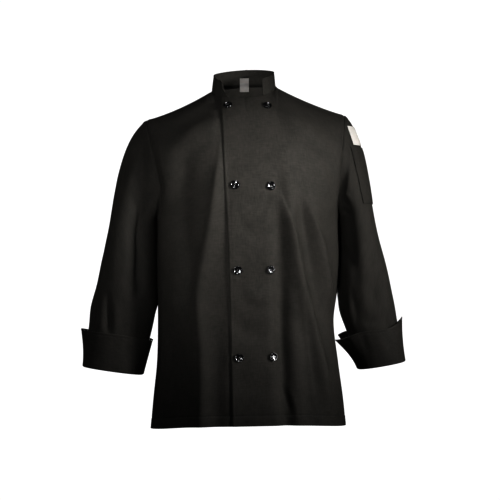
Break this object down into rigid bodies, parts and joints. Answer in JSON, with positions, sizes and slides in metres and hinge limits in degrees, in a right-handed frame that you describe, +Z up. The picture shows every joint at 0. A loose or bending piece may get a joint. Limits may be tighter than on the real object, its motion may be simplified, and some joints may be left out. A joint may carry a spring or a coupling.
{
  "type": "chef jacket",
  "caption": "Double-breasted long-sleeved twill jacket with a stand collar, turned-back split cuffs and a narrow sleeve pocket, filled out as when worn.",
  "frame": {"origin": "centre of the neck base, where the collar meets the shoulders", "axes": "+Z up, -Y out of the front, +X to the wearer's left"},
  "size_m": [0.7252, 0.3209, 0.8167],
  "materials": {
    "twill": "black polyester-cotton twill with a soft dull sheen",
    "label": "plain white woven satin",
    "button": "glossy black moulded plastic"
  },
  "bodies": {
    "root": {"back": "twill", "right_front": "twill", "left_front": "twill", "right_sleeve": "twill", "left_sleeve": "twill", "right_cuff": "twill", "left_cuff": "twill", "collar": "twill", "sleeve_pocket": "twill", "sleeve_label": "label", "neck_label": "label", "button_1": "button", "button_2": "button", "button_3": "button", "button_4": "button", "button_5": "button", "button_6": "button", "button_7": "button", "button_8": "button"}
  },
  "joints": []
}
